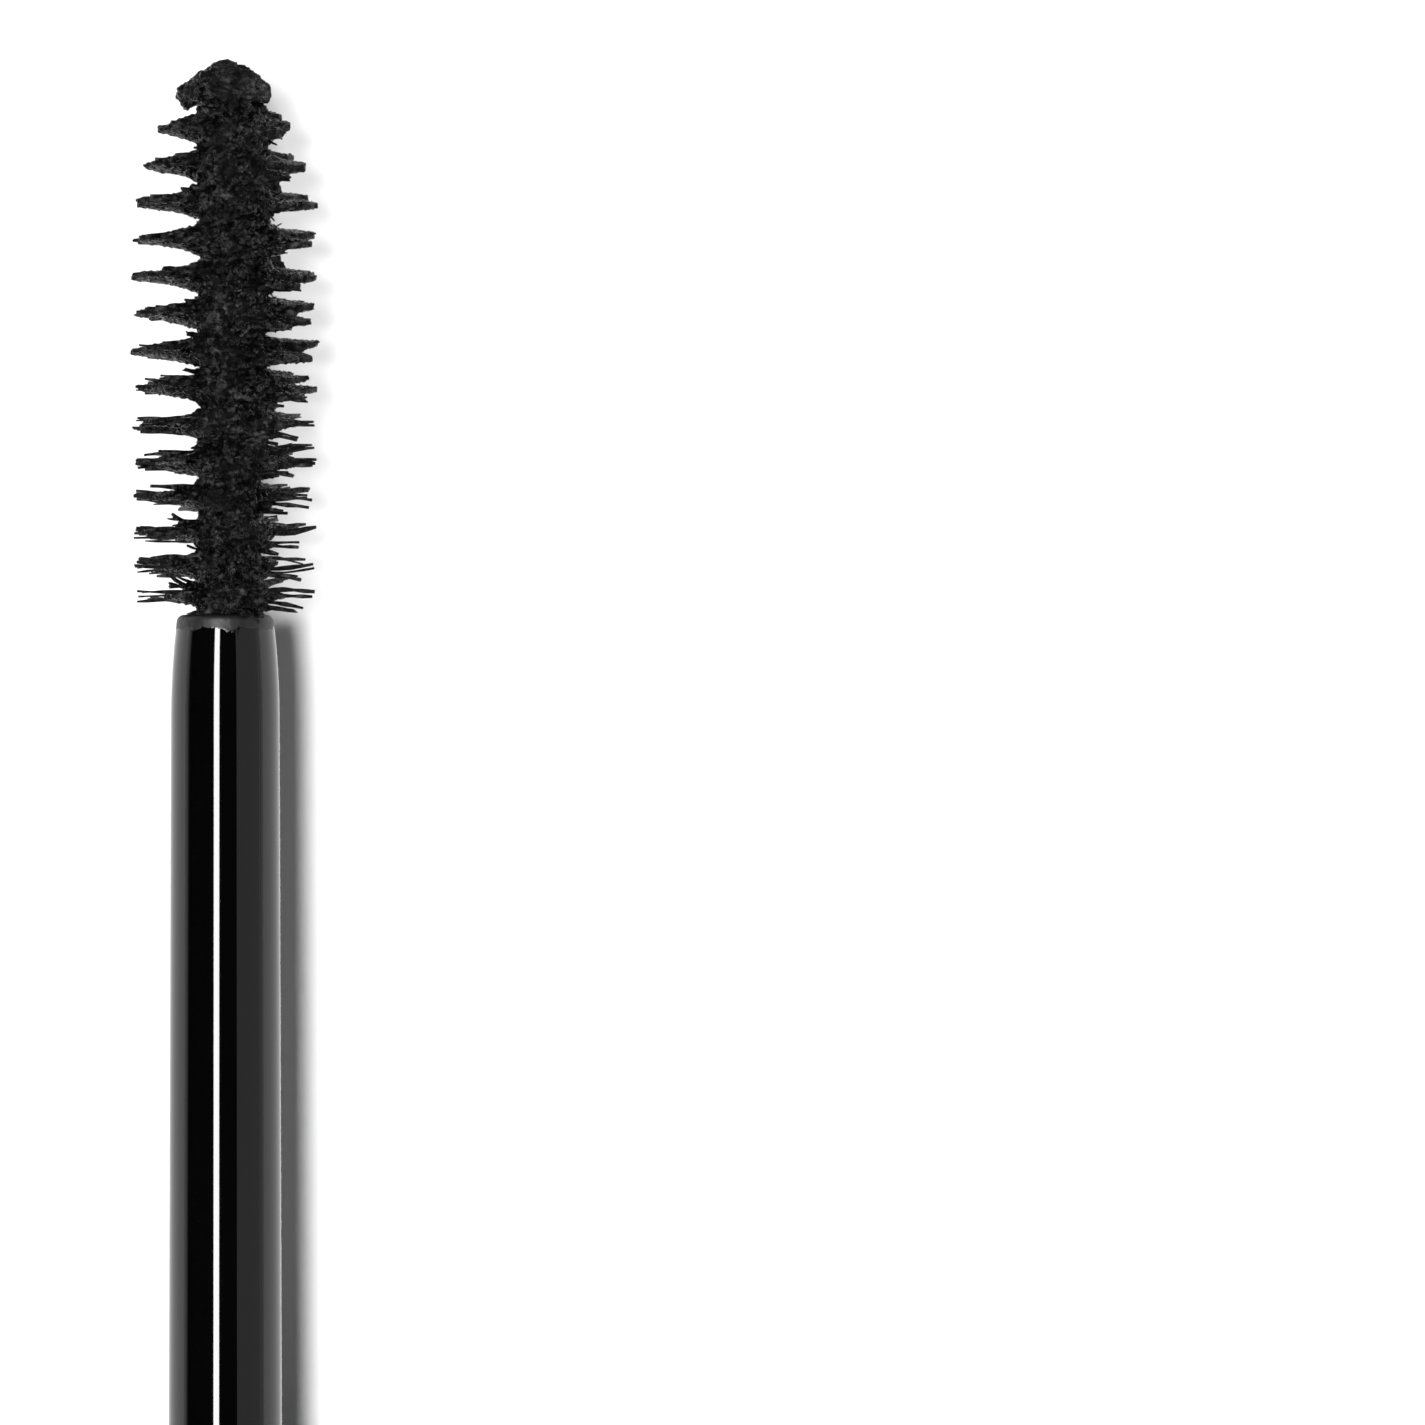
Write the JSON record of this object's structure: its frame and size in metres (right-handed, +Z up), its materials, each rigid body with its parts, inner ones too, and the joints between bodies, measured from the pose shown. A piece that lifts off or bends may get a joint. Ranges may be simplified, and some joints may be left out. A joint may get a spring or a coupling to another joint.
{
  "type": "mascara tube",
  "caption": "Round screw-cap mascara tube lying drawn open: cap with a slim black rod and twisted-wire bristle brush, and the threaded bottle with its wiper.",
  "frame": {"origin": "on the level surface the opened tube lies on, under the middle of its length", "axes": "+X along the common axis from the cap's closed end to the bottle's base, +Z up"},
  "size_m": [0.1956, 0.017, 0.017],
  "materials": {
    "gloss_black": "polished injection-moulded black",
    "rod_black": "polished black",
    "satin_black": "satin black polypropylene",
    "collar_metal": "satin anodised",
    "wiper_polymer": "soft natural polyethylene",
    "liner_foam": "foamed polyethylene",
    "brush_steel": "twisted stainless wire",
    "bristle_nylon": "coated black nylon",
    "mascara_paste": "wet black paste",
    "label_paper": "plain sticker"
  },
  "bodies": {
    "bottle": {"vial": "satin_black", "wiper": "wiper_polymer", "shoulder_collar": "collar_metal", "outer_sleeve": "gloss_black", "base_plug": "gloss_black", "shade_label": "label_paper", "mascara_fill": "mascara_paste"},
    "liner": {"cap_liner": "liner_foam"},
    "applicator": {"cap_shell": "gloss_black", "inner_cap": "satin_black", "rod": "rod_black", "brush_wire": "brush_steel", "mascara_coat": "mascara_paste", "bristle_row_01": "bristle_nylon", "bristle_row_02": "bristle_nylon", "bristle_row_03": "bristle_nylon", "bristle_row_04": "bristle_nylon", "bristle_row_05": "bristle_nylon", "bristle_row_06": "bristle_nylon", "bristle_row_07": "bristle_nylon", "bristle_row_08": "bristle_nylon", "bristle_row_09": "bristle_nylon", "bristle_row_10": "bristle_nylon", "bristle_row_11": "bristle_nylon", "bristle_row_12": "bristle_nylon", "bristle_row_13": "bristle_nylon", "bristle_row_14": "bristle_nylon"}
  },
  "joints": [
    {"name": "draw_in", "type": "slide", "parent": "bottle", "child": "liner", "axis": [1, 0, 0], "range_m": [0, 0.07945], "deforming": ["bristle_row_01", "bristle_row_02", "bristle_row_03", "bristle_row_04", "bristle_row_05", "bristle_row_06", "bristle_row_07", "bristle_row_08", "bristle_row_09", "bristle_row_10", "bristle_row_11", "bristle_row_12", "bristle_row_13", "bristle_row_14", "mascara_coat"]},
    {"name": "cap_turn", "type": "hinge", "parent": "liner", "child": "applicator", "pos_m": [-0.06175, 0, 0.0085], "axis": [1, 0, 0], "range_deg": [0, 360]}
  ]
}
